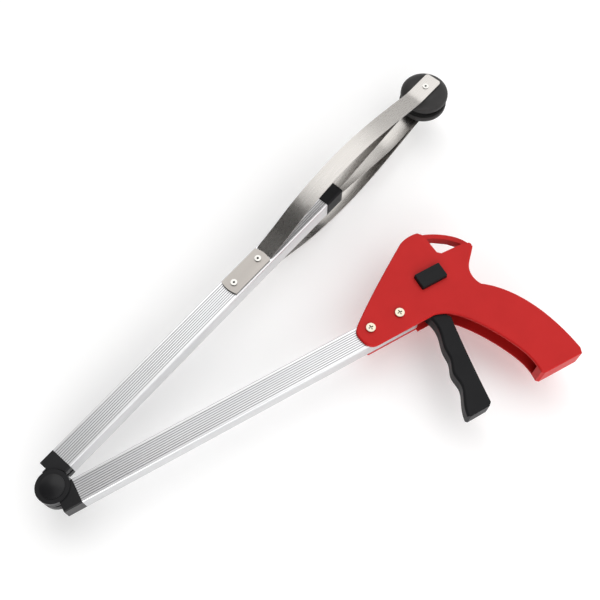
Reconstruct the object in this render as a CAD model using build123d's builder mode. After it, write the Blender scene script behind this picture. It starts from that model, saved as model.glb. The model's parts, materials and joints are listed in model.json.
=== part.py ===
# Folding reacher grabber: two aluminium tubes on a fold hinge, a pistol grip with a trigger,
# and two spring-steel jaws with rubber cups. All dimensions in millimetres.
# The rear arm lies along +X from the fold axis (+Z). Front-arm parts are drawn straight along +X
# and turned about the fold axis by FOLD_REST when they are saved.
import os
from build123d import *

# ---- fold hinge ----
FOLD_REST = 19.7          # angle between the arms as laid down
KNUCKLE_R = 12.0          # hinge ears and tongue
EAR_IN, EAR_OUT = 4.6, 9.0
TONGUE_HALF = 3.8
SLOT_R = KNUCKLE_R + 0.5  # relief around the turning knuckles
PIN_R = 3.0
CAP_R, CAP_H = 8.6, 2.4

# ---- tubes (both from one extrusion) ----
TUBE_W, TUBE_D, TUBE_WALL = 18.6, 15.2, 1.2
TUBE_OFF = 10.3           # centreline distance from the fold axis
FLUTES, FLUTE_PITCH, FLUTE_W, FLUTE_DEPTH = 9, 1.65, 0.75, 0.5
REAR_START, REAR_END = 13.5, 284.0
FRONT_START, FRONT_END = 17.5, 293.5
PLUG_LEN = 20.0
PLUG_W, PLUG_D = TUBE_W - 2 * TUBE_WALL - 0.1, TUBE_D - 2 * TUBE_WALL - 0.1

# ---- cable ----
CABLE_R = 0.6
WRAP_R = 7.0              # cable radius round the hinge hub
HUB_R = 5.6
CABLE_JOIN = 20.0         # ends of the length that bends at the fold
CABLE_PULL_Y = -14.5      # height of the cable where the trigger pulls it
BARREL_X, BARREL_R = 294.6, 2.4
FERRULE_START, FERRULE_R = 278.0, 1.7

# ---- jaws ----
BAND_W, BAND_T = 14.6, 0.8
PLATE_W, PLATE_T = 15.2, 1.0
PLATE_A, PLATE_B = 187.0, 228.0
RIVETS_AT = (194.0, 221.0)
TIP_AT, TIP_END = 433.0, 445.0
TIP_Z, TIP_RIVET_R = 14.0, 1.6
CUP_R, CUP_FACE, CUP_FLOOR, CUP_TOP = 20.0, 3.0, 9.8, 12.8
CAP_END = 312.0
# bow of the outer jaw strip and of the inner pull strip: distance along the arm, height off its axis
BOW = ((PLATE_B + 0.5, 8.2), (245, 13.5), (268, 22), (297, 28.2), (328, 30.4), (362, 27), (390, 21),
       (412, 15.4), (422, TIP_Z), (TIP_END, TIP_Z))
PULL = ((CAP_END + 1.3, 5), (342, 10.2), (370, 14.8), (392, 17.2), (412, 13.8), (422, TIP_Z - BAND_T),
        (441, TIP_Z - BAND_T))

# ---- handle ----
HANDLE_HALF, HANDLE_CAVITY = 10.0, 7.7
TRIGGER_HALF = 7.0
TRIGGER_X, TRIGGER_Y, TRIGGER_PIN_R = 291.5, 4.0, 2.0
SCREWS_AT = ((249.0, -8.1), (274.0, -8.4))
SCREW_R, SCREW_HEAD_R, SCREW_HEAD_H = 1.9, 3.5, 1.6
LOCK_X, LOCK_Y, LOCK_W, LOCK_H, LOCK_PROUD = 310.4, 5.4, 22.0, 12.4, 3.5
EDGE_R, STRAP_STEP = 1.2, 6.2
LOOP_CORNER, LOOP_CORNER_R = (355.5, 14.5), 3.0
NUT_R, NUT_H = 4.0, 1.6
FIT = 0.3                 # gap left round parts that move

os.makedirs("parts", exist_ok=True)


def tube_profile(centre_y):
    """Fluted rectangular tube section, for use inside a sketch on a YZ plane."""
    with Locations((centre_y, 0)):
        RectangleRounded(TUBE_W, TUBE_D, 1.4)
        Rectangle(TUBE_W - 2 * TUBE_WALL, TUBE_D - 2 * TUBE_WALL, mode=Mode.SUBTRACT)
        for face in (-1, 1):
            with Locations((0, face * TUBE_D / 2)):
                with GridLocations(FLUTE_PITCH, 1, FLUTES, 1):
                    Rectangle(FLUTE_W, 2 * FLUTE_DEPTH, mode=Mode.SUBTRACT)


# ================= rear arm =================
with BuildPart() as rear_tube:
    with BuildSketch(Plane.YZ.offset(REAR_START)):
        tube_profile(-TUBE_OFF)
    extrude(amount=REAR_END - REAR_START)
    with BuildSketch(Plane.XY.offset(-TUBE_D / 2 - 1)):
        with Locations(*SCREWS_AT):
            Circle(SCREW_R + 0.2)
    extrude(amount=TUBE_D + 2, mode=Mode.SUBTRACT)

with BuildPart() as rear_hinge_connector:
    with BuildSketch(Plane.XY.offset(-TUBE_D / 2)):
        with Locations((REAR_START / 2, -TUBE_OFF)):
            Rectangle(REAR_START, TUBE_W)
    extrude(amount=TUBE_D)
    fillet(rear_hinge_connector.edges().filter_by(Axis.X), 1.4)
    with BuildSketch(Plane.XY.offset(-EAR_OUT)):
        Circle(KNUCKLE_R)
    extrude(amount=2 * EAR_OUT)
    with BuildSketch(Plane.XY.offset(-EAR_IN)):
        Circle(SLOT_R)
        with Locations((0, KNUCKLE_R)):
            Rectangle(2 * SLOT_R, 2 * KNUCKLE_R)
        with Locations((-KNUCKLE_R, 0)):
            Rectangle(2 * KNUCKLE_R, 4 * KNUCKLE_R)
    extrude(amount=2 * EAR_IN, mode=Mode.SUBTRACT)
    with BuildSketch(Plane.YZ.offset(REAR_START)):
        with Locations((-TUBE_OFF, 0)):
            Rectangle(PLUG_W, PLUG_D)
    extrude(amount=PLUG_LEN)
    with BuildSketch(Plane.YZ.offset(REAR_START - 8)):
        with Locations((-WRAP_R - 0.2, 0)):
            Circle(2.2)
    extrude(amount=PLUG_LEN + 9, mode=Mode.SUBTRACT)
    with BuildSketch(Plane.XY.offset(-EAR_OUT)):
        Circle(PIN_R)
    extrude(amount=2 * EAR_OUT, mode=Mode.SUBTRACT)

with BuildPart() as hinge_pin:
    with BuildSketch(Plane.XY.offset(-EAR_OUT)):
        Circle(PIN_R)
    extrude(amount=2 * EAR_OUT)

with BuildPart() as hinge_washers:
    for base in (-EAR_IN, EAR_IN - 0.5):
        with BuildSketch(Plane.XY.offset(base)):
            Circle(6.0)
            Circle(PIN_R, mode=Mode.SUBTRACT)
        extrude(amount=0.5)


def dome(radius, height, base, side):
    """Low domed button with a small rim, standing on z=base and pointing to side*Z."""
    crown = 0.75 * height
    ball = (radius ** 2 + crown ** 2) / (2 * crown)
    centre = base + height - ball
    middle = centre + (ball ** 2 - radius ** 2 / 4) ** 0.5
    with BuildPart() as button:
        with BuildSketch(Plane.XZ):
            with BuildLine():
                Line((0, centre + ball), (0, base))
                Line((0, base), (radius, base))
                Line((radius, base), (radius, base + height - crown))
                ThreePointArc((radius, base + height - crown), (radius / 2, middle), (0, centre + ball))
            make_face()
        revolve(axis=Axis.Z)
    button.part = button.part.moved(Location((0, 0, 0), (0 if side > 0 else 180, 0, 0)))
    return button


hinge_cap_near = dome(CAP_R, CAP_H, EAR_OUT, 1)
hinge_cap_far = dome(CAP_R, CAP_H, EAR_OUT, -1)


def handle_shell(side):
    """One half of the pistol grip; side is +1 for the near half and -1 for the far half."""
    with BuildPart() as shell:
        with BuildSketch(Plane.XY) as outline:
            with BuildLine():
                Spline((242.5, -0.5), (262, 13.2), (290, 31.2), (306, 41))
                Spline((306, 41), (316, 43.2), (327, 41.5), (341, 34), (350.5, 25), LOOP_CORNER)
                Spline(LOOP_CORNER, (347, 5), (340, -4), (339, -11), (341, -18))
                Spline((341, -18), (352, -29), (363, -47.5), (371, -73), (374, -96.5))
                Polyline((374, -96.5), (372.3, -100.8), (339.5, -100), (337.5, -98))
                Spline((337.5, -98), (337.5, -84), (333, -69), (326.5, -54.5), (317, -38.5), (306, -26.5),
                       (296, -22))
                Line((296, -22), (247.5, -22))
                Spline((247.5, -22), (239.6, -17.5), (237.6, -10), (242.5, -0.5),
                       tangents=((-1, 0), (0.78, 0.62)))
            make_face()
            fillet(outline.vertices().sort_by_distance(LOOP_CORNER)[0], LOOP_CORNER_R)
        extrude(amount=side * HANDLE_HALF)
        outer = shell.faces().filter_by(Plane.XY).sort_by(Axis.Z)[-1 if side > 0 else 0]
        fillet(outer.edges(), EDGE_R)
        # hanging loop: a window, and a strap thinner than the body
        with BuildSketch(Plane.XY) as window:
            with BuildLine():
                Polyline((325.4, 38), (333.5, 34.6), (342.5, 28), (349, 20.5), (350.4, 16.6), (344.4, 17.4),
                         (329, 18.2), (326.4, 20.8), (325.4, 38))
            make_face()
            fillet(window.vertices(), 0.8)
        extrude(amount=side * HANDLE_HALF, mode=Mode.SUBTRACT)
        with BuildSketch(Plane.XY.offset(side * (HANDLE_HALF - STRAP_STEP))):
            with BuildLine():
                Polyline((317.5, 50), (318.6, 44), (322.3, 42.2), (324.7, 39.2), (325.6, 34), (333.5, 30),
                         (349.6, 16.4), (351.7, 15.8))
                ThreePointArc((351.7, 15.8), (353.3, 14.3), (352.8, 12.2))
                Polyline((352.8, 12.2), (365, 12.2), (365, 50), (317.5, 50))
            make_face()
        extrude(amount=side * STRAP_STEP * 2, mode=Mode.SUBTRACT)
        # bed for the tube
        with BuildSketch(Plane.XY):
            with Locations(((REAR_END + 230) / 2, -TUBE_OFF - 5)):
                Rectangle(REAR_END - 230, TUBE_W + 10)
        extrude(amount=side * TUBE_D / 2, mode=Mode.SUBTRACT)
        # open channel for the trigger, from its pin down to the toe of the grip
        with BuildSketch(Plane.XY):
            with BuildLine():
                Polyline((REAR_END, 11), (298.2, 11), (298.2, -2.2), (306, -3.2), (322, -12), (333, -30),
                         (345, -58), (349, -78), (349, -92.5), (318, -92.5), (286, -34), (REAR_END, -34),
                         (REAR_END, 11))
            make_face()
        extrude(amount=side * HANDLE_CAVITY, mode=Mode.SUBTRACT)
        # pin seat, screw holes and lock opening
        with BuildSketch(Plane.XY):
            with Locations((TRIGGER_X, TRIGGER_Y)):
                Circle(TRIGGER_PIN_R)
        extrude(amount=side * (HANDLE_HALF - 1.0), mode=Mode.SUBTRACT)
        with BuildSketch(Plane.XY):
            with Locations(*SCREWS_AT):
                Circle(SCREW_R)
            with Locations((LOCK_X, LOCK_Y)):
                RectangleRounded(LOCK_W + 2 * FIT, LOCK_H + 2 * FIT, 1.3)
        extrude(amount=side * (HANDLE_HALF + 1), mode=Mode.SUBTRACT)
        if side < 0:
            # the far half stops level with the underside of the tube, and holds the nuts
            with BuildSketch(Plane.XY):
                with Locations(((REAR_END + 230) / 2, -TUBE_OFF - TUBE_W / 2 - 5)):
                    Rectangle(REAR_END - 230, 10)
            extrude(amount=-HANDLE_HALF, mode=Mode.SUBTRACT)
            with BuildSketch(Plane.XY.offset(-HANDLE_HALF)):
                with Locations(*SCREWS_AT):
                    RegularPolygon(NUT_R, 6)
            extrude(amount=NUT_H, mode=Mode.SUBTRACT)
    return shell


handle_shell_near = handle_shell(1)
handle_shell_far = handle_shell(-1)

with BuildPart() as handle_screws:
    for at in SCREWS_AT:
        with Locations((at[0], at[1], 0)):
            Cylinder(SCREW_R, 2 * HANDLE_HALF)
        with Locations((at[0], at[1], HANDLE_HALF + SCREW_HEAD_H / 2)):
            Cylinder(SCREW_HEAD_R, SCREW_HEAD_H)
        with Locations((at[0], at[1], HANDLE_HALF + SCREW_HEAD_H)):
            Box(0.9, 3.8, 1.8, mode=Mode.SUBTRACT)
            Box(3.8, 0.9, 1.8, mode=Mode.SUBTRACT)

with BuildPart() as handle_nuts:
    for at in SCREWS_AT:
        with BuildSketch(Plane.XY.offset(-HANDLE_HALF)):
            with Locations(at):
                RegularPolygon(NUT_R, 6)
                Circle(SCREW_R, mode=Mode.SUBTRACT)
        extrude(amount=NUT_H)

with BuildPart() as trigger_pin:
    with Locations((TRIGGER_X, TRIGGER_Y, 0)):
        Cylinder(TRIGGER_PIN_R, 2 * (HANDLE_HALF - 1.0))

with BuildPart() as trigger:
    with BuildSketch(Plane.XY.offset(-TRIGGER_HALF)):
        with BuildLine():
            Spline((306.5, -29), (301.6, -53), (297.6, -75.3), (294, -98))
            Polyline((294, -98), (291.5, -100), (275.5, -100), (273.6, -98.5))
            Spline((273.6, -98.5), (278.8, -86), (282.9, -77), (283.1, -66.5), (287.2, -57), (288.4, -48),
                   (292.0, -37), (293.2, -25))
            Polyline((293.2, -25), (286.8, 3), (288, 8.2), (294.8, 8.2), (296.6, 2.5), (295.4, -1.5),
                     (294.2, -4.8), (296.4, -7.8), (298.2, -12.5), (306.5, -29))
        make_face()
    extrude(amount=2 * TRIGGER_HALF)
    fillet(trigger.edges().filter_by(GeomType.BSPLINE).group_by(Axis.X)[0], 2.0)
    with Locations((TRIGGER_X, TRIGGER_Y, 0)):
        Cylinder(TRIGGER_PIN_R + 0.06, 4 * TRIGGER_HALF, mode=Mode.SUBTRACT)
    with Locations((BARREL_X, CABLE_PULL_Y, 0)):
        Cylinder(BARREL_R, 4 * TRIGGER_HALF, mode=Mode.SUBTRACT)
        with Locations((-5, 0, 0)):
            Box(10, 3.0, 2.4, mode=Mode.SUBTRACT)

with BuildPart() as cable_barrel:
    with Locations((BARREL_X, CABLE_PULL_Y, 0)):
        Cylinder(BARREL_R, 2 * TRIGGER_HALF - 1)

with BuildPart() as lock_button:
    with BuildSketch(Plane.XY.offset(-HANDLE_HALF)):
        with Locations((LOCK_X, LOCK_Y)):
            RectangleRounded(LOCK_W, LOCK_H, 1.0)
    extrude(amount=2 * HANDLE_HALF + LOCK_PROUD)
    fillet(lock_button.faces().sort_by(Axis.Z)[-1].edges(), 0.7)
    fillet(lock_button.faces().sort_by(Axis.Z)[0].edges(), 0.7)

with BuildPart() as cable_rear:
    with BuildLine() as rear_run:
        Line((CABLE_JOIN, -WRAP_R, 0), (291.6, CABLE_PULL_Y, 0))
    with BuildSketch(Plane(origin=rear_run.line @ 0, z_dir=rear_run.line % 0)):
        Circle(CABLE_R)
    sweep(path=rear_run.line)

with BuildPart() as cable_fold:
    with BuildLine() as wrap_run:
        Line((CABLE_JOIN, -WRAP_R), (0, -WRAP_R))
        CenterArc((0, 0), WRAP_R, 270, -(180 - FOLD_REST))
        wrap_end = wrap_run.line @ 1
        wrap_dir = Vector(1, 0, 0).rotate(Axis.Z, FOLD_REST)
        Line(wrap_end, wrap_end + wrap_dir * CABLE_JOIN)
    with BuildSketch(Plane(origin=wrap_run.line @ 0, z_dir=wrap_run.line % 0)):
        Circle(CABLE_R)
    sweep(path=wrap_run.line)

# ================= front arm (drawn straight) =================
with BuildPart() as front_tube:
    with BuildSketch(Plane.YZ.offset(FRONT_START)):
        tube_profile(TUBE_OFF)
    extrude(amount=FRONT_END - FRONT_START)
    with BuildSketch(Plane.XY.offset(-TUBE_D / 2 - 1)):
        for at in RIVETS_AT:
            with Locations((at, TUBE_OFF)):
                Circle(1.6)
    extrude(amount=TUBE_D + 2, mode=Mode.SUBTRACT)

with BuildPart() as front_hinge_connector:
    with BuildSketch(Plane.XY.offset(-TUBE_D / 2)):
        with Locations(((5.4 + FRONT_START) / 2, TUBE_OFF)):
            Rectangle(FRONT_START - 5.4, TUBE_W)
    extrude(amount=TUBE_D)
    fillet(front_hinge_connector.edges().filter_by(Axis.X), 1.4)
    with BuildSketch(Plane.XY.offset(-TUBE_D / 2)):
        Circle(SLOT_R)
    extrude(amount=TUBE_D, mode=Mode.SUBTRACT)
    with BuildSketch(Plane.XY.offset(-TONGUE_HALF)):
        Circle(KNUCKLE_R)
        with Locations((8, 7.8)):
            Rectangle(12, 13.6)
    extrude(amount=2 * TONGUE_HALF)
    with BuildSketch(Plane.YZ.offset(FRONT_START)):
        with Locations((TUBE_OFF, 0)):
            Rectangle(PLUG_W, PLUG_D)
    extrude(amount=PLUG_LEN)
    # cable slot, with the hub left standing between the two cheeks of the tongue
    with BuildSketch(Plane.XY.offset(-1.3)):
        with Locations((12, 0)):
            Rectangle(54, 26)
        Circle(HUB_R, mode=Mode.SUBTRACT)
    extrude(amount=2.6, mode=Mode.SUBTRACT)
    with BuildSketch(Plane.XY.offset(-TUBE_D)):
        Circle(PIN_R + 0.06)
    extrude(amount=2 * TUBE_D, mode=Mode.SUBTRACT)

with BuildPart() as cable_front:
    with BuildSketch(Plane.YZ.offset(CABLE_JOIN)):
        with Locations((WRAP_R, 0)):
            Circle(CABLE_R)
    extrude(amount=FERRULE_START - CABLE_JOIN)

with BuildPart() as cable_ferrule:
    with BuildSketch(Plane.YZ.offset(FERRULE_START)):
        with Locations((WRAP_R, 0)):
            Circle(FERRULE_R)
    extrude(amount=8)

with BuildPart() as pull_slider:
    with Locations((298.5, TUBE_OFF, 0)):
        Box(25, 12.6, 3.6)
    fillet(pull_slider.edges().filter_by(Axis.Z), 1.2)

with BuildPart() as end_cap:
    with BuildSketch(Plane.YZ.offset(FRONT_END)):
        with Locations((TUBE_OFF, 0)):
            RectangleRounded(TUBE_W + 0.8, TUBE_D + 0.8, 1.8)
    extrude(amount=CAP_END - FRONT_END)
    fillet(end_cap.faces().sort_by(Axis.X)[-1].edges(), 1.0)
    with BuildSketch(Plane.YZ.offset(FRONT_END - 10)):
        with Locations((TUBE_OFF, 0)):
            Rectangle(PLUG_W, PLUG_D)
    extrude(amount=10)
    with Locations((CAP_END - 10, TUBE_OFF, 0)):
        Box(50, 13.4, 10.4, mode=Mode.SUBTRACT)


def strip(rise, side, width, tip_r):
    """Bent spring strip through (x, z) points, centred on the arm; side -1 mirrors it to the far side."""
    upper = [(x, side * (z + BAND_T / 2)) for x, z in rise]
    lower = [(x, side * (z - BAND_T / 2)) for x, z in rise]
    start = (rise[1][0] - rise[0][0], side * (rise[1][1] - rise[0][1]))
    with BuildPart() as leaf:
        with BuildSketch(Plane.XZ.offset(-TUBE_OFF - width / 2)):
            with BuildLine():
                Spline(*upper[:-1], tangents=(start, (1, 0)))
                Line(upper[-2], upper[-1])
                Line(upper[-1], lower[-1])
                Line(lower[-1], lower[-2])
                Spline(*lower[:-1], tangents=(start, (1, 0)))
                Line(lower[0], upper[0])
            make_face()
        extrude(amount=width)
        fillet(leaf.edges().filter_by(Axis.Z).group_by(Axis.X)[-1], tip_r)
        with Locations((TIP_AT, TUBE_OFF, side * rise[-1][1])):
            Cylinder(TIP_RIVET_R, 4, mode=Mode.SUBTRACT)
    return leaf


def suction_cup(side):
    """Round rubber cup with a thick hub and a thin lip."""
    with BuildPart() as cup:
        with BuildSketch(Plane.XZ):
            with BuildLine():
                Line((TIP_RIVET_R, CUP_FLOOR), (TIP_RIVET_R, CUP_TOP))
                Line((TIP_RIVET_R, CUP_TOP), (8.5, CUP_TOP))
                Spline((8.5, CUP_TOP), (14.5, 11.6), (CUP_R - 0.9, 8.2), (CUP_R, CUP_FACE + 1.5),
                       tangents=((1, 0), (0, -1)))
                Line((CUP_R, CUP_FACE + 1.5), (CUP_R - 0.6, CUP_FACE))
                Line((CUP_R - 0.6, CUP_FACE), (CUP_R - 2.2, CUP_FACE))
                Spline((CUP_R - 2.2, CUP_FACE), (13, 8.0), (6.5, CUP_FLOOR), tangents=((-0.5, 1), (-1, 0)))
                Line((6.5, CUP_FLOOR), (TIP_RIVET_R, CUP_FLOOR))
            make_face()
        revolve(axis=Axis.Z)
    turn = Location((TIP_AT, TUBE_OFF, 0), (0 if side > 0 else 180, 0, 0))
    cup.part = cup.part.moved(turn)
    return cup


def tip_rivet(side):
    """Rivet holding strip, pull strip and cup together."""
    top = TIP_Z + BAND_T / 2
    with BuildPart() as rivet:
        with Locations((TIP_AT, TUBE_OFF, side * (top + CUP_FLOOR) / 2)):
            Cylinder(TIP_RIVET_R, top - CUP_FLOOR)
        with Locations((TIP_AT, TUBE_OFF, side * (CUP_FLOOR - 0.3))):
            Cylinder(3.0, 0.6)
        with Locations((TIP_AT, TUBE_OFF, side * (top + 0.3))):
            Cylinder(2.6, 0.6)
        with Locations((TIP_AT, TUBE_OFF, side * (top + 0.6))):
            Cylinder(0.9, 2.4, mode=Mode.SUBTRACT)
    return rivet


def clamp(base, thickness, width, side):
    """Flat strip over the jaw root with rounded ends and two rivet holes."""
    with BuildPart() as plate:
        with BuildSketch(Plane.XY.offset(side * base)):
            with Locations(((PLATE_A + PLATE_B) / 2, TUBE_OFF)):
                Rectangle(PLATE_B - PLATE_A, width)
                Circle((PLATE_B - PLATE_A) / 2, mode=Mode.INTERSECT)
            for at in RIVETS_AT:
                with Locations((at, TUBE_OFF)):
                    Circle(1.6, mode=Mode.SUBTRACT)
        extrude(amount=side * thickness)
    return plate


jaw_root_near = clamp(TUBE_D / 2, BAND_T, BAND_W - 1, 1)
jaw_root_far = clamp(TUBE_D / 2, BAND_T, BAND_W - 1, -1)
jaw_plate_near = clamp(TUBE_D / 2 + BAND_T, PLATE_T, PLATE_W, 1)
jaw_plate_far = clamp(TUBE_D / 2 + BAND_T, PLATE_T, PLATE_W, -1)

with BuildPart() as plate_rivets:
    for side in (-1, 1):
        top = TUBE_D / 2 + BAND_T + PLATE_T
        for at in RIVETS_AT:
            with Locations((at, TUBE_OFF, side * (top + 5.6) / 2)):
                Cylinder(1.6, top - 5.6)
            with Locations((at, TUBE_OFF, side * (top + 0.5))):
                Cylinder(2.6, 1.0)
            with Locations((at, TUBE_OFF, side * (top + 1.0))):
                Cylinder(0.9, 3.0, mode=Mode.SUBTRACT)

outer_band_near = strip(BOW, 1, BAND_W, 2.6)
outer_band_far = strip(BOW, -1, BAND_W, 2.6)
pull_strip_near = strip(PULL, 1, BAND_W - 2.6, 4.0)
pull_strip_far = strip(PULL, -1, BAND_W - 2.6, 4.0)
suction_cup_near = suction_cup(1)
suction_cup_far = suction_cup(-1)
tip_rivet_near = tip_rivet(1)
tip_rivet_far = tip_rivet(-1)

# ================= place and save =================
rear_parts = {
    "rear_tube": rear_tube, "rear_hinge_connector": rear_hinge_connector, "hinge_pin": hinge_pin,
    "hinge_washers": hinge_washers, "hinge_cap_near": hinge_cap_near, "hinge_cap_far": hinge_cap_far,
    "handle_shell_near": handle_shell_near, "handle_shell_far": handle_shell_far,
    "handle_screws": handle_screws, "handle_nuts": handle_nuts, "trigger": trigger,
    "trigger_pin": trigger_pin, "cable_barrel": cable_barrel, "lock_button": lock_button,
    "cable_rear": cable_rear, "cable_fold": cable_fold}
front_parts = {
    "front_tube": front_tube, "front_hinge_connector": front_hinge_connector, "cable_front": cable_front,
    "cable_ferrule": cable_ferrule, "pull_slider": pull_slider, "end_cap": end_cap,
    "jaw_root_near": jaw_root_near, "jaw_root_far": jaw_root_far, "jaw_plate_near": jaw_plate_near,
    "jaw_plate_far": jaw_plate_far, "plate_rivets": plate_rivets, "outer_band_near": outer_band_near,
    "outer_band_far": outer_band_far, "pull_strip_near": pull_strip_near, "pull_strip_far": pull_strip_far,
    "suction_cup_near": suction_cup_near, "suction_cup_far": suction_cup_far,
    "tip_rivet_near": tip_rivet_near, "tip_rivet_far": tip_rivet_far}

turned = Location((0, 0, 0), (0, 0, FOLD_REST))
placed = {label: piece.part for label, piece in rear_parts.items()}
placed.update({label: piece.part.moved(turned) for label, piece in front_parts.items()})
boxes = [shape.bounding_box() for shape in placed.values()]
low = [min(getattr(box.min, axis) for box in boxes) for axis in "XYZ"]
high = [max(getattr(box.max, axis) for box in boxes) for axis in "XYZ"]
origin = Location((-(low[0] + high[0]) / 2, -(low[1] + high[1]) / 2, -low[2]))
for label, shape in placed.items():
    shape = shape.moved(origin)
    shape.label = label
    export_step(shape, f"parts/{label}.step")
print("size", [b - a for a, b in zip(low, high)], "fold axis at", origin.position)
print("cable radius round the hinge", WRAP_R, "angle wrapped at rest", 180 - FOLD_REST)
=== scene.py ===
# Folding reacher grabber: materials, fine detail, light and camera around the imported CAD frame.
import json
import math

import bpy
from mathutils import Matrix, Vector

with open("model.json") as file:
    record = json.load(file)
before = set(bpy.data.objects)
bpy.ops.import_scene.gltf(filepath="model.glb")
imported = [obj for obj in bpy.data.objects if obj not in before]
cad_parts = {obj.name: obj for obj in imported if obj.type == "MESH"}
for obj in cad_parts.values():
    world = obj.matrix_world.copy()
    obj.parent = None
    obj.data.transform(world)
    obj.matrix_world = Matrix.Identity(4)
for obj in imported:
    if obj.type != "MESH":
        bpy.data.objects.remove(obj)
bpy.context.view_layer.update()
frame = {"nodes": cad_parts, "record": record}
NODES = frame["nodes"]

# ---- layout read from the record ----
JOINTS = {j["name"]: j for j in frame["record"]["behaviour"]["joints"]}
FOLD_AT = Vector(JOINTS["fold"]["pos_m"])
ARM_DIR = -Vector(JOINTS["front_pull"]["axis"])
FRONT_TURN = math.atan2(ARM_DIR.y, ARM_DIR.x)
TUBE_OFFSET = 0.0103             # tube centreline from the fold axis
FLUTE_PITCH, FLUTE_SPAN = 0.00165, 0.0074
GROOVE_EDGE, GROOVE_FLOOR = 0.27, 0.19   # half widths of a groove, as parts of the pitch
GROOVE_SHADE = 0.65

# ---- camera ----
LENS, SENSOR = 51.0, 36.0
TILT = math.radians(25.2)        # away from looking straight down
SPIN = math.radians(-29.75)      # turns the rear tube up to the right of the frame
DARK_SIDE = (-0.66, -0.32, 0.68)  # right, up, near: where the surroundings fall dark
RANGE = 0.646                    # from the camera to the plane of the arms
AIM_FROM_FOLD = Vector((0.16812, 0.14406, 0.0))   # point in the middle of the frame, before SPIN

# ---- colours (linear) ----
RED = (0.515, 0.0165, 0.0158, 1)
RED_DEEP = (0.478, 0.0145, 0.0138, 1)
BLACK = (0.012, 0.012, 0.013, 1)
BLACK_DEEP = (0.009, 0.009, 0.01, 1)
RUBBER = (0.020, 0.019, 0.019, 1)
RUBBER_DUSTY = (0.036, 0.035, 0.034, 1)
ALUMINIUM = (0.73, 0.73, 0.74, 1)
ALUMINIUM_DULL = (0.61, 0.61, 0.62, 1)
STEEL = (0.465, 0.447, 0.426, 1)
STEEL_DULL = (0.40, 0.384, 0.365, 1)
BRIGHT = (0.55, 0.545, 0.52, 1)
FLUTE_DARK = (0.22, 0.22, 0.23, 1)
PLATE = (0.41, 0.385, 0.36, 1)
PLATE_DULL = (0.34, 0.318, 0.298, 1)
WIRE = (0.45, 0.45, 0.46, 1)
# painted shade colour for the recesses of plated fixings
RECESS_SHADE = (0.03, 0.028, 0.025, 1)
BRASSY = (0.56, 0.51, 0.40, 1)
RECESS_REACH = 0.0012            # how far a wall darkens a recess, in metres
RECESS_DARK, RECESS_UNSHADED = 0.45, 0.85   # openness where the painted shade is full and where it ends
WIRE_DARK = (0.16, 0.16, 0.16, 1)
FLOOR_PALE = (0.95, 0.95, 0.95, 1)
FLOOR_DULL = (0.93, 0.93, 0.93, 1)
WORLD_PALE = (1.0, 0.995, 0.99, 1)
WORLD_DARK = (0.06, 0.058, 0.058, 1)

# ---- stage ----
FLOOR_HALF, FLOOR_DROP = 40.0, 0.0006
FLOOR_GLOW = 0.12                # lifts the floor to a clean white
WORLD_STRENGTH = 0.88
DARK_FROM, DARK_TO = 0.62, 0.84  # cosines from DARK_SIDE where the surroundings start and end darkening


# ================= materials =================
class Shader:
    """A node material being built, with the shader sockets and links in easy reach."""

    def __init__(self, name):
        self.material = bpy.data.materials.new(name)
        self.material.use_nodes = True
        self.tree = self.material.node_tree
        self.bsdf = self.tree.nodes["Principled BSDF"]
        self.coords = self.add("ShaderNodeTexCoord").outputs["Object"]

    def add(self, kind, **values):
        node = self.tree.nodes.new(kind)
        for key, value in values.items():
            if hasattr(node, key):
                setattr(node, key, value)
            else:
                node.inputs[key].default_value = value
        return node

    def link(self, output, node, socket):
        self.tree.links.new(output, node.inputs[socket])

    def put(self, **values):
        for key, value in values.items():
            self.bsdf.inputs[key.replace("_", " ")].default_value = value

    def mapped(self, scale, turn=0.0):
        """Object coordinates, turned about Z and scaled."""
        spin = self.add("ShaderNodeMapping", vector_type="TEXTURE")
        spin.inputs["Rotation"].default_value = (0, 0, turn)
        self.link(self.coords, spin, "Vector")
        size = self.add("ShaderNodeMapping")
        size.inputs["Scale"].default_value = scale
        self.link(spin.outputs["Vector"], size, "Vector")
        return size.outputs["Vector"]

    def noise(self, vector, scale, detail=4.0, roughness=0.55):
        node = self.add("ShaderNodeTexNoise", Scale=scale, Detail=detail, Roughness=roughness)
        self.link(vector, node, "Vector")
        return node.outputs["Fac"]

    def ramp(self, factor, low, high, start=0.3, end=0.7):
        node = self.add("ShaderNodeValToRGB")
        node.color_ramp.elements[0].position = start
        node.color_ramp.elements[0].color = low
        node.color_ramp.elements[1].position = end
        node.color_ramp.elements[1].color = high
        self.link(factor, node, "Fac")
        return node.outputs["Color"]

    def span(self, factor, low, high):
        node = self.add("ShaderNodeMapRange")
        node.inputs["To Min"].default_value = low
        node.inputs["To Max"].default_value = high
        self.link(factor, node, "Value")
        return node.outputs["Result"]

    def math(self, operation, a, b):
        node = self.add("ShaderNodeMath", operation=operation)
        for socket, value in ((0, a), (1, b)):
            if isinstance(value, (int, float)):
                node.inputs[socket].default_value = value
            else:
                self.tree.links.new(value, node.inputs[socket])
        return node.outputs[0]

    def bump(self, height, strength, distance, under=None):
        node = self.add("ShaderNodeBump", Strength=strength, Distance=distance)
        self.link(height, node, "Height")
        if under is not None:
            self.link(under, node, "Normal")
        return node.outputs["Normal"]

    def mix(self, factor, a, b):
        node = self.add("ShaderNodeMix", data_type="RGBA")
        self.link(factor, node, "Factor")
        for socket, value in ((6, a), (7, b)):
            if isinstance(value, tuple):
                node.inputs[socket].default_value = value
            else:
                self.tree.links.new(value, node.inputs[socket])
        return node.outputs[2]


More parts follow.
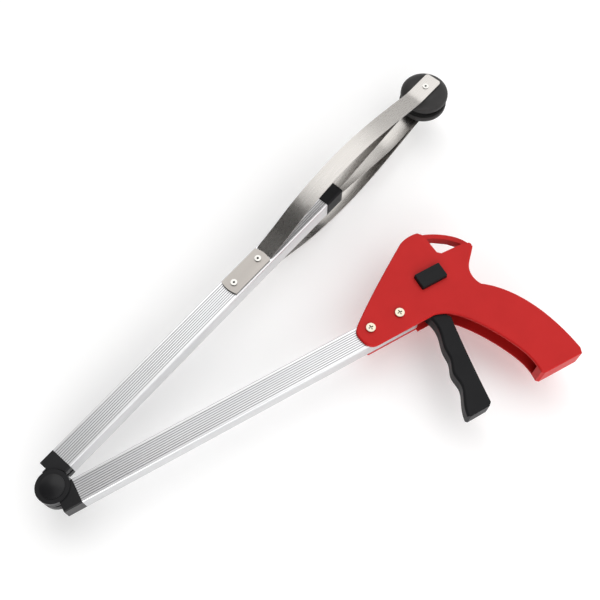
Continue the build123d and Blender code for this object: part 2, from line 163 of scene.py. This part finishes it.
def moulded(name, base, other, rough, grain, grain_scale, gloss):
    """Injection-moulded plastic: faint flow mottling and a fine spark-eroded grain."""
    s = Shader(name)
    plain = s.mapped((1, 1, 1))
    cloud = s.noise(plain, 38, 3)
    colour = s.ramp(cloud, other, base, 0.25, 0.6)
    s.link(colour, s.bsdf, "Base Color")
    s.link(s.span(s.noise(plain, 160, 4), rough - 0.06, rough + 0.08), s.bsdf, "Roughness")
    fine = s.bump(s.noise(plain, grain_scale, 2), grain, 0.00012)
    s.link(s.bump(cloud, 0.05, 0.0005, fine), s.bsdf, "Normal")
    s.put(Specular_IOR_Level=gloss)
    return s.material


def flute_shade(s, turn, centre):
    """1 in the grooves of a fluted tube face and 0 elsewhere, across the tube."""
    place = s.add("ShaderNodeMapping", vector_type="TEXTURE")
    place.inputs["Location"].default_value = FOLD_AT
    place.inputs["Rotation"].default_value = (0, 0, turn)
    s.link(s.coords, place, "Vector")
    across = s.add("ShaderNodeSeparateXYZ")
    s.link(place.outputs["Vector"], across, "Vector")
    value = across.outputs["Y"]
    shifted = s.math("SUBTRACT", value, centre)
    turns = s.math("ADD", s.math("DIVIDE", shifted, FLUTE_PITCH), 0.5)
    phase = s.math("ABSOLUTE", s.math("SUBTRACT", s.math("FRACT", turns, 0), 0.5), 0)
    inside = s.math("LESS_THAN", s.math("ABSOLUTE", shifted, 0), FLUTE_SPAN)
    groove = s.add("ShaderNodeMapRange", interpolation_type="SMOOTHSTEP")
    groove.inputs["From Min"].default_value = GROOVE_EDGE
    groove.inputs["From Max"].default_value = GROOVE_FLOOR
    s.link(phase, groove, "Value")
    return s.math("MULTIPLY", groove.outputs["Result"], inside)


def drawn_metal(name, bright, dull, rough, turn, stretch=(4, 900, 900), depth=0.12, flutes=None):
    """Metal with fine drawing or brushing lines along one direction, in soft lengthwise streaks, and painted
    shade in the grooves of fluted tubes.
    """
    s = Shader(name)
    lines = s.noise(s.mapped(stretch, turn), 1.0, 5, 0.7)
    cloud = s.noise(s.mapped((9, 60, 60), turn), 1.0, 3)
    tone = s.mix(s.span(lines, 0.15, 0.85), s.ramp(cloud, dull, bright, 0.3, 0.65), bright)
    if flutes is not None:
        # painted shade darkens the grooves of the flutes
        tone = s.mix(s.math("MULTIPLY", flute_shade(s, turn, flutes), GROOVE_SHADE), tone, FLUTE_DARK)
    s.link(tone, s.bsdf, "Base Color")
    s.link(s.span(lines, rough - 0.07, rough + 0.09), s.bsdf, "Roughness")
    s.link(s.bump(lines, depth, 0.00008), s.bsdf, "Normal")
    s.put(Metallic=1.0)
    return s.material


def plated(name, base, rough):
    """Bright plated fixings with faint handling marks and painted shade in the recesses."""
    s = Shader(name)
    plain = s.mapped((1, 1, 1))
    unshaded_tone = s.ramp(s.noise(plain, 260, 3), STEEL, base, 0.2, 0.5)
    # painted shade: the colour darkens where ambient occlusion finds a recess
    recess = s.add("ShaderNodeAmbientOcclusion", samples=8, Distance=RECESS_REACH)
    shade = s.add("ShaderNodeMapRange")
    shade.inputs["From Min"].default_value = RECESS_DARK
    shade.inputs["From Max"].default_value = RECESS_UNSHADED
    s.link(recess.outputs["AO"], shade, "Value")
    s.link(s.mix(shade.outputs["Result"], RECESS_SHADE, unshaded_tone), s.bsdf, "Base Color")
    marks = s.noise(plain, 900, 4)
    s.link(s.span(marks, rough - 0.05, rough + 0.12), s.bsdf, "Roughness")
    s.link(s.bump(marks, 0.08, 0.00005), s.bsdf, "Normal")
    s.put(Metallic=1.0)
    return s.material


def soft_rubber(name):
    """Dull black rubber with a dusty bloom and a pebbled skin."""
    s = Shader(name)
    plain = s.mapped((1, 1, 1))
    s.link(s.ramp(s.noise(plain, 55, 5), RUBBER, RUBBER_DUSTY, 0.35, 0.75), s.bsdf, "Base Color")
    s.link(s.span(s.noise(plain, 220, 3), 0.42, 0.6), s.bsdf, "Roughness")
    s.link(s.bump(s.noise(plain, 2600, 2), 0.18, 0.0001), s.bsdf, "Normal")
    s.put(Specular_IOR_Level=0.25)
    return s.material


def stranded(name):
    """Twisted wire rope."""
    s = Shader(name)
    wave = s.add("ShaderNodeTexWave", Scale=1.0, Distortion=0.0)
    wave.bands_direction = "DIAGONAL"
    s.link(s.mapped((700, 700, 700)), wave, "Vector")
    s.link(s.ramp(wave.outputs["Fac"], WIRE_DARK, WIRE, 0.1, 0.6), s.bsdf, "Base Color")
    s.link(s.bump(wave.outputs["Fac"], 0.5, 0.0001), s.bsdf, "Normal")
    s.put(Metallic=1.0, Roughness=0.35)
    return s.material


RED_SHELL = moulded("red_shell", RED, RED_DEEP, 0.42, 0.10, 2200, 0.12)
BLACK_SHELL = moulded("black_shell", BLACK, BLACK_DEEP, 0.42, 0.22, 1900, 0.10)
HINGE_SHELL = moulded("hinge_shell", BLACK, BLACK_DEEP, 0.30, 0.10, 1900, 0.22)
TUBE_REAR = drawn_metal("tube_rear", ALUMINIUM, ALUMINIUM_DULL, 0.36, 0.0, flutes=-TUBE_OFFSET)
TUBE_FRONT = drawn_metal("tube_front", ALUMINIUM, ALUMINIUM_DULL, 0.36, FRONT_TURN, flutes=TUBE_OFFSET)
SPRING = drawn_metal("spring_strip", STEEL, STEEL_DULL, 0.27, FRONT_TURN, depth=0.08)
CLAMP = drawn_metal("clamp_plate", PLATE, PLATE_DULL, 0.42, FRONT_TURN, stretch=(60, 700, 700))
PLATED = plated("plated_fixing", BRIGHT, 0.22)
SCREW = plated("passivated_screw", BRASSY, 0.24)
CUP = soft_rubber("cup_rubber")
CABLE = stranded("wire_rope")

FINISH = {
    "rear_tube": TUBE_REAR, "front_tube": TUBE_FRONT,
    "handle_shell_near": RED_SHELL, "handle_shell_far": RED_SHELL,
    "trigger": BLACK_SHELL, "lock_button": BLACK_SHELL, "end_cap": BLACK_SHELL, "pull_slider": BLACK_SHELL,
    "rear_hinge_connector": HINGE_SHELL, "front_hinge_connector": HINGE_SHELL,
    "hinge_cap_near": HINGE_SHELL, "hinge_cap_far": HINGE_SHELL,
    "jaw_root_near": SPRING, "jaw_root_far": SPRING, "jaw_plate_near": CLAMP, "jaw_plate_far": CLAMP,
    "outer_band_near": SPRING, "outer_band_far": SPRING, "pull_strip_near": SPRING, "pull_strip_far": SPRING,
    "suction_cup_near": CUP, "suction_cup_far": CUP,
    "cable_rear": CABLE, "cable_fold": CABLE, "cable_front": CABLE,
    "handle_screws": SCREW, "handle_nuts": SCREW, "trigger_pin": PLATED, "cable_barrel": PLATED,
    "hinge_pin": PLATED, "hinge_washers": PLATED, "cable_ferrule": PLATED, "plate_rivets": PLATED,
    "tip_rivet_near": PLATED, "tip_rivet_far": PLATED,
}
SOFT_EDGE = {                    # small rolled edges on moulded and pressed pieces, in metres
    "handle_shell_near": 0.0004, "handle_shell_far": 0.0004, "lock_button": 0.0004, "end_cap": 0.0005,
    "rear_hinge_connector": 0.0005, "front_hinge_connector": 0.0005, "trigger": 0.0007,
    "jaw_plate_near": 0.0002, "jaw_plate_far": 0.0002, "outer_band_near": 0.00015, "outer_band_far": 0.00015,
    "pull_strip_near": 0.00012, "pull_strip_far": 0.00012, "suction_cup_near": 0.0005,
    "suction_cup_far": 0.0005, "plate_rivets": 0.0005, "tip_rivet_near": 0.0004, "tip_rivet_far": 0.0004,
    "handle_screws": 0.0003, "handle_nuts": 0.0003,
}


def finish_nodes():
    """Gives each CAD node its material and, where moulded or pressed, a small rolled edge."""
    for name, obj in NODES.items():
        for slot in obj.material_slots:
            slot.material = FINISH[name]
        if not obj.material_slots:
            obj.data.materials.append(FINISH[name])
        if name in SOFT_EDGE:
            edge = obj.modifiers.new("rolled_edge", "BEVEL")
            edge.width = SOFT_EDGE[name]
            edge.segments = 2
            edge.limit_method = "ANGLE"
            edge.angle_limit = math.radians(32)
            smooth = obj.modifiers.new("flat_faces_stay_flat", "WEIGHTED_NORMAL")
            smooth.weight = 100
            smooth.keep_sharp = True


# ================= stage =================
def floor():
    """Large pale floor under the part."""
    mesh = bpy.data.meshes.new("floor")
    corners = ((-1, -1), (1, -1), (1, 1), (-1, 1))
    mesh.from_pydata([(x * FLOOR_HALF, y * FLOOR_HALF, -FLOOR_DROP) for x, y in corners], [], [(0, 1, 2, 3)])
    obj = bpy.data.objects.new("floor", mesh)
    bpy.context.scene.collection.objects.link(obj)
    s = Shader("pale_floor")
    s.link(s.ramp(s.noise(s.mapped((1, 1, 1)), 6, 3), FLOOR_DULL, FLOOR_PALE), s.bsdf, "Base Color")
    s.put(Roughness=0.8, Specular_IOR_Level=0.1, Emission_Color=(1, 1, 1, 1), Emission_Strength=FLOOR_GLOW)
    mesh.materials.append(s.material)


def seen(right, up, near):
    """A direction given as the camera's frame sees it, turned into the row frame."""
    return Matrix.Rotation(SPIN, 3, "Z") @ Vector((right, up, near))


def softbox(name, at, size, power, aim=(0, 0, 0)):
    light = bpy.data.lights.new(name, "AREA")
    light.shape = "RECTANGLE"
    light.size, light.size_y = size
    light.energy = power
    obj = bpy.data.objects.new(name, light)
    obj.location = at
    obj.rotation_euler = (Vector(aim) - Vector(at)).to_track_quat("-Z", "Y").to_euler()
    bpy.context.scene.collection.objects.link(obj)


def studio_world():
    """Pale surroundings with one soft dark area, so bent metal shows its shape."""
    world = bpy.data.worlds.new("studio")
    world.use_nodes = True
    tree = world.node_tree
    background = tree.nodes["Background"]
    coords = tree.nodes.new("ShaderNodeTexCoord")
    toward = tree.nodes.new("ShaderNodeVectorMath")
    toward.operation = "DOT_PRODUCT"
    toward.inputs[1].default_value = seen(*DARK_SIDE).normalized()
    span = tree.nodes.new("ShaderNodeMapRange")
    span.interpolation_type = "SMOOTHSTEP"
    span.inputs["From Min"].default_value = DARK_FROM
    span.inputs["From Max"].default_value = DARK_TO
    mix = tree.nodes.new("ShaderNodeMix")
    mix.data_type = "RGBA"
    mix.inputs[6].default_value = WORLD_PALE
    mix.inputs[7].default_value = WORLD_DARK
    tree.links.new(coords.outputs["Generated"], toward.inputs[0])
    tree.links.new(toward.outputs["Value"], span.inputs["Value"])
    tree.links.new(span.outputs["Result"], mix.inputs["Factor"])
    tree.links.new(mix.outputs[2], background.inputs["Color"])
    background.inputs["Strength"].default_value = WORLD_STRENGTH
    bpy.context.scene.world = world


def lights():
    softbox("key", seen(0.25, 1.0, 1.7), (2.4, 1.6), 13)
    softbox("fill", seen(1.3, -0.5, 1.2), (1.6, 1.4), 5)
    softbox("rim", seen(0.1, -1.5, 0.8), (1.8, 0.9), 12)
    studio_world()


def camera():
    data = bpy.data.cameras.new("camera")
    data.lens, data.sensor_width = LENS, SENSOR
    data.clip_start, data.clip_end = 0.02, 50
    obj = bpy.data.objects.new("camera", data)
    stand = AIM_FROM_FOLD + Vector((0, -RANGE * math.sin(TILT), RANGE * math.cos(TILT)))
    obj.location = FOLD_AT + Matrix.Rotation(SPIN, 3, "Z") @ stand
    obj.rotation_euler = (TILT, 0, SPIN)
    bpy.context.scene.collection.objects.link(obj)
    bpy.context.scene.camera = obj


bpy.context.scene.view_settings.view_transform = "Standard"
finish_nodes()
floor()
lights()
camera()
